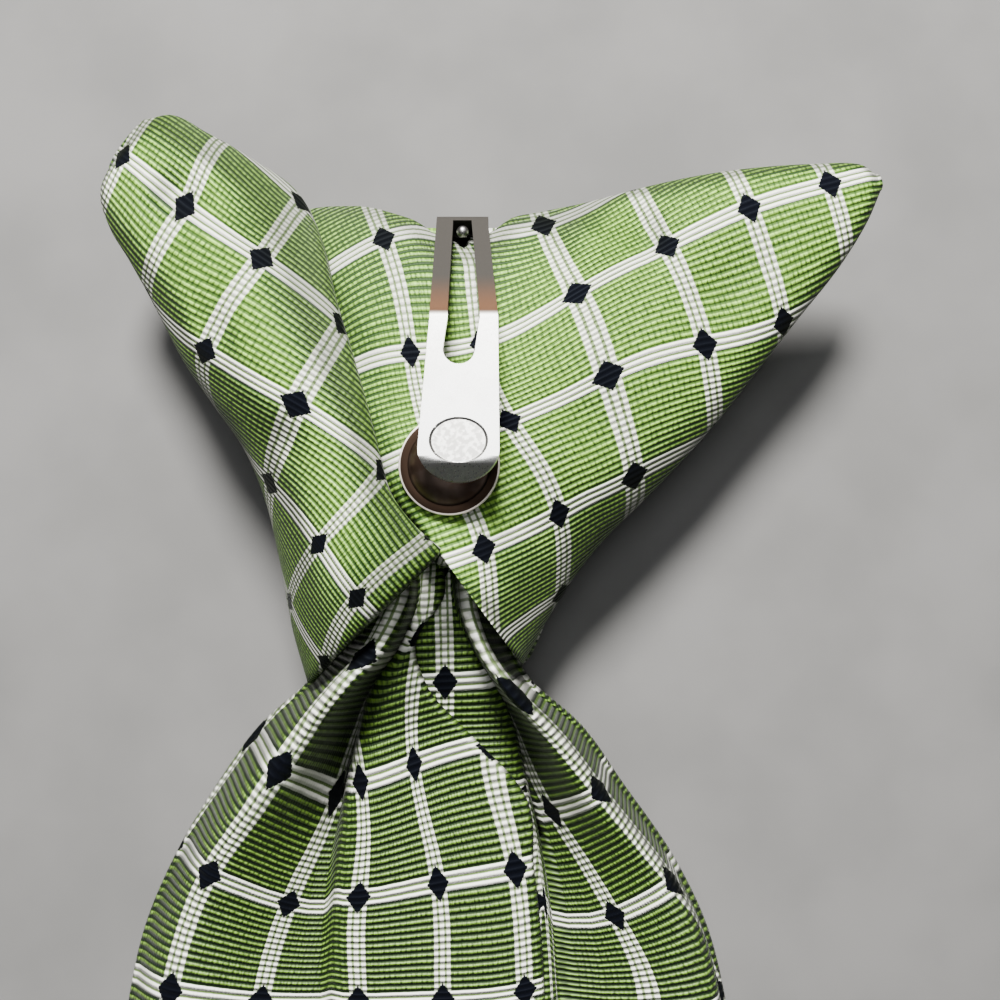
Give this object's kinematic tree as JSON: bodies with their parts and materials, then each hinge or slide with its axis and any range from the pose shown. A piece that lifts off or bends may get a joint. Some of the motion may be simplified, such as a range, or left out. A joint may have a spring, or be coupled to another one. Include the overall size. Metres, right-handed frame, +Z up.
{
  "type": "clip-on necktie",
  "caption": "Pre-tied necktie lying face down: folded winged knot with a sprung metal collar clip, and a pleated blade that flattens out to a point.",
  "frame": {"origin": "middle of the flat cloth on the front of the knot, which the tie rests on", "axes": "+Z up through the back of the knot to the clip, +Y from the point of the blade to the top of the knot, +X to the long pointed wing"},
  "size_m": [0.1051, 0.5118, 0.0298],
  "materials": {
    "woven_silk": "ribbed silk weave, green with white bands and small navy diamonds, soft sheen",
    "spring_steel": "nickel plated, lightly worn",
    "dish_metal": "polished dark nickel plate",
    "rivet_metal": "dull nickel"
  },
  "bodies": {
    "root": {"wing_right": "woven_silk", "wing_left": "woven_silk", "knot_front": "woven_silk", "blade": "woven_silk", "clip_spring": "spring_steel", "clip_dish": "dish_metal", "clip_rivet": "rivet_metal"}
  },
  "joints": []
}
